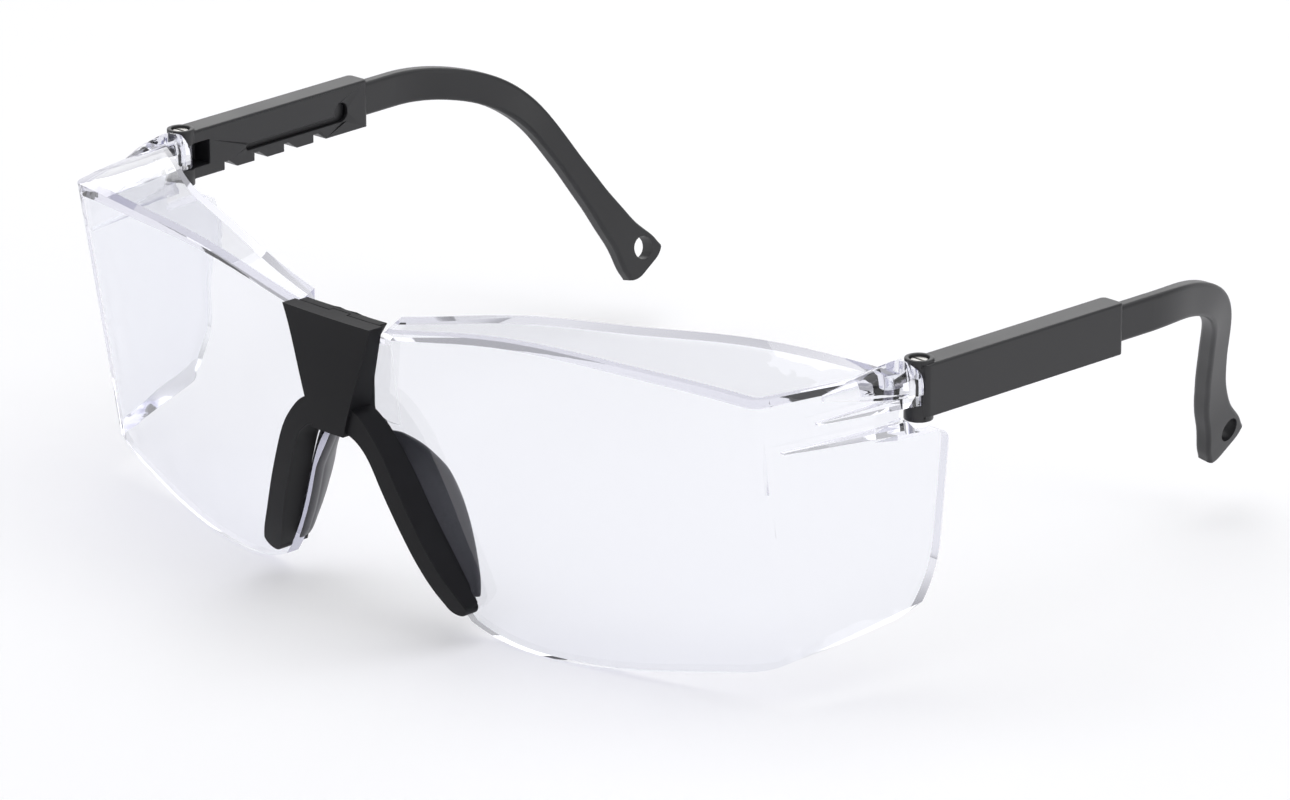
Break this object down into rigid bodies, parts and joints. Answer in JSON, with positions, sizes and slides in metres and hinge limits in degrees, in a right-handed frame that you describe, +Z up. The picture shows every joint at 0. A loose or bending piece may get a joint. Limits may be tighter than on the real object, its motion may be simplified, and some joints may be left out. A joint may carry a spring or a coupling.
{
  "type": "safety glasses",
  "caption": "Clear one-piece wraparound safety glasses with side shields, a black nose bridge and folding temples whose curved tips slide in and out to adjust their length.",
  "frame": {"origin": "centre of the overall plan rectangle, at the height of the lens's lowest edge", "axes": "+X to the wearer's left, +Y from the front to the rear along the temples, +Z up"},
  "size_m": [0.1534, 0.1231, 0.0492],
  "materials": {
    "clear_polycarbonate": "clear moulded polycarbonate, hard coated, glossy",
    "black_nylon": "black moulded nylon, fine satin texture",
    "soft_rubber": "dark grey soft rubber, smooth",
    "steel": "nickel plated steel screw"
  },
  "bodies": {
    "front": {"lens": "clear_polycarbonate", "bridge_cover": "black_nylon", "bridge_clip": "black_nylon", "nose_pad_left": "soft_rubber", "nose_pad_right": "soft_rubber"},
    "temple_left": {"temple_sleeve_left": "black_nylon", "hinge_screw_left": "steel"},
    "tip_left": {"temple_tip_left": "black_nylon"},
    "temple_right": {"temple_sleeve_right": "black_nylon", "hinge_screw_right": "steel"},
    "tip_right": {"temple_tip_right": "black_nylon"}
  },
  "joints": [
    {"name": "temple_hinge_left", "type": "hinge", "parent": "front", "child": "temple_left", "pos_m": [0.073, -0.02245, 0.04205], "axis": [0, 0, 1], "range_deg": [0, 90]},
    {"name": "temple_hinge_right", "type": "hinge", "parent": "front", "child": "temple_right", "pos_m": [-0.073, -0.02245, 0.04205], "axis": [0, 0, -1], "range_deg": [0, 75]},
    {"name": "tip_slide_left", "type": "slide", "parent": "temple_left", "child": "tip_left", "axis": [0.0349, 0.9994, 0], "range_m": [-0.0061, 0.0122]},
    {"name": "tip_slide_right", "type": "slide", "parent": "temple_right", "child": "tip_right", "axis": [-0.0349, 0.9994, 0], "range_m": [-0.0061, 0.0122]}
  ]
}
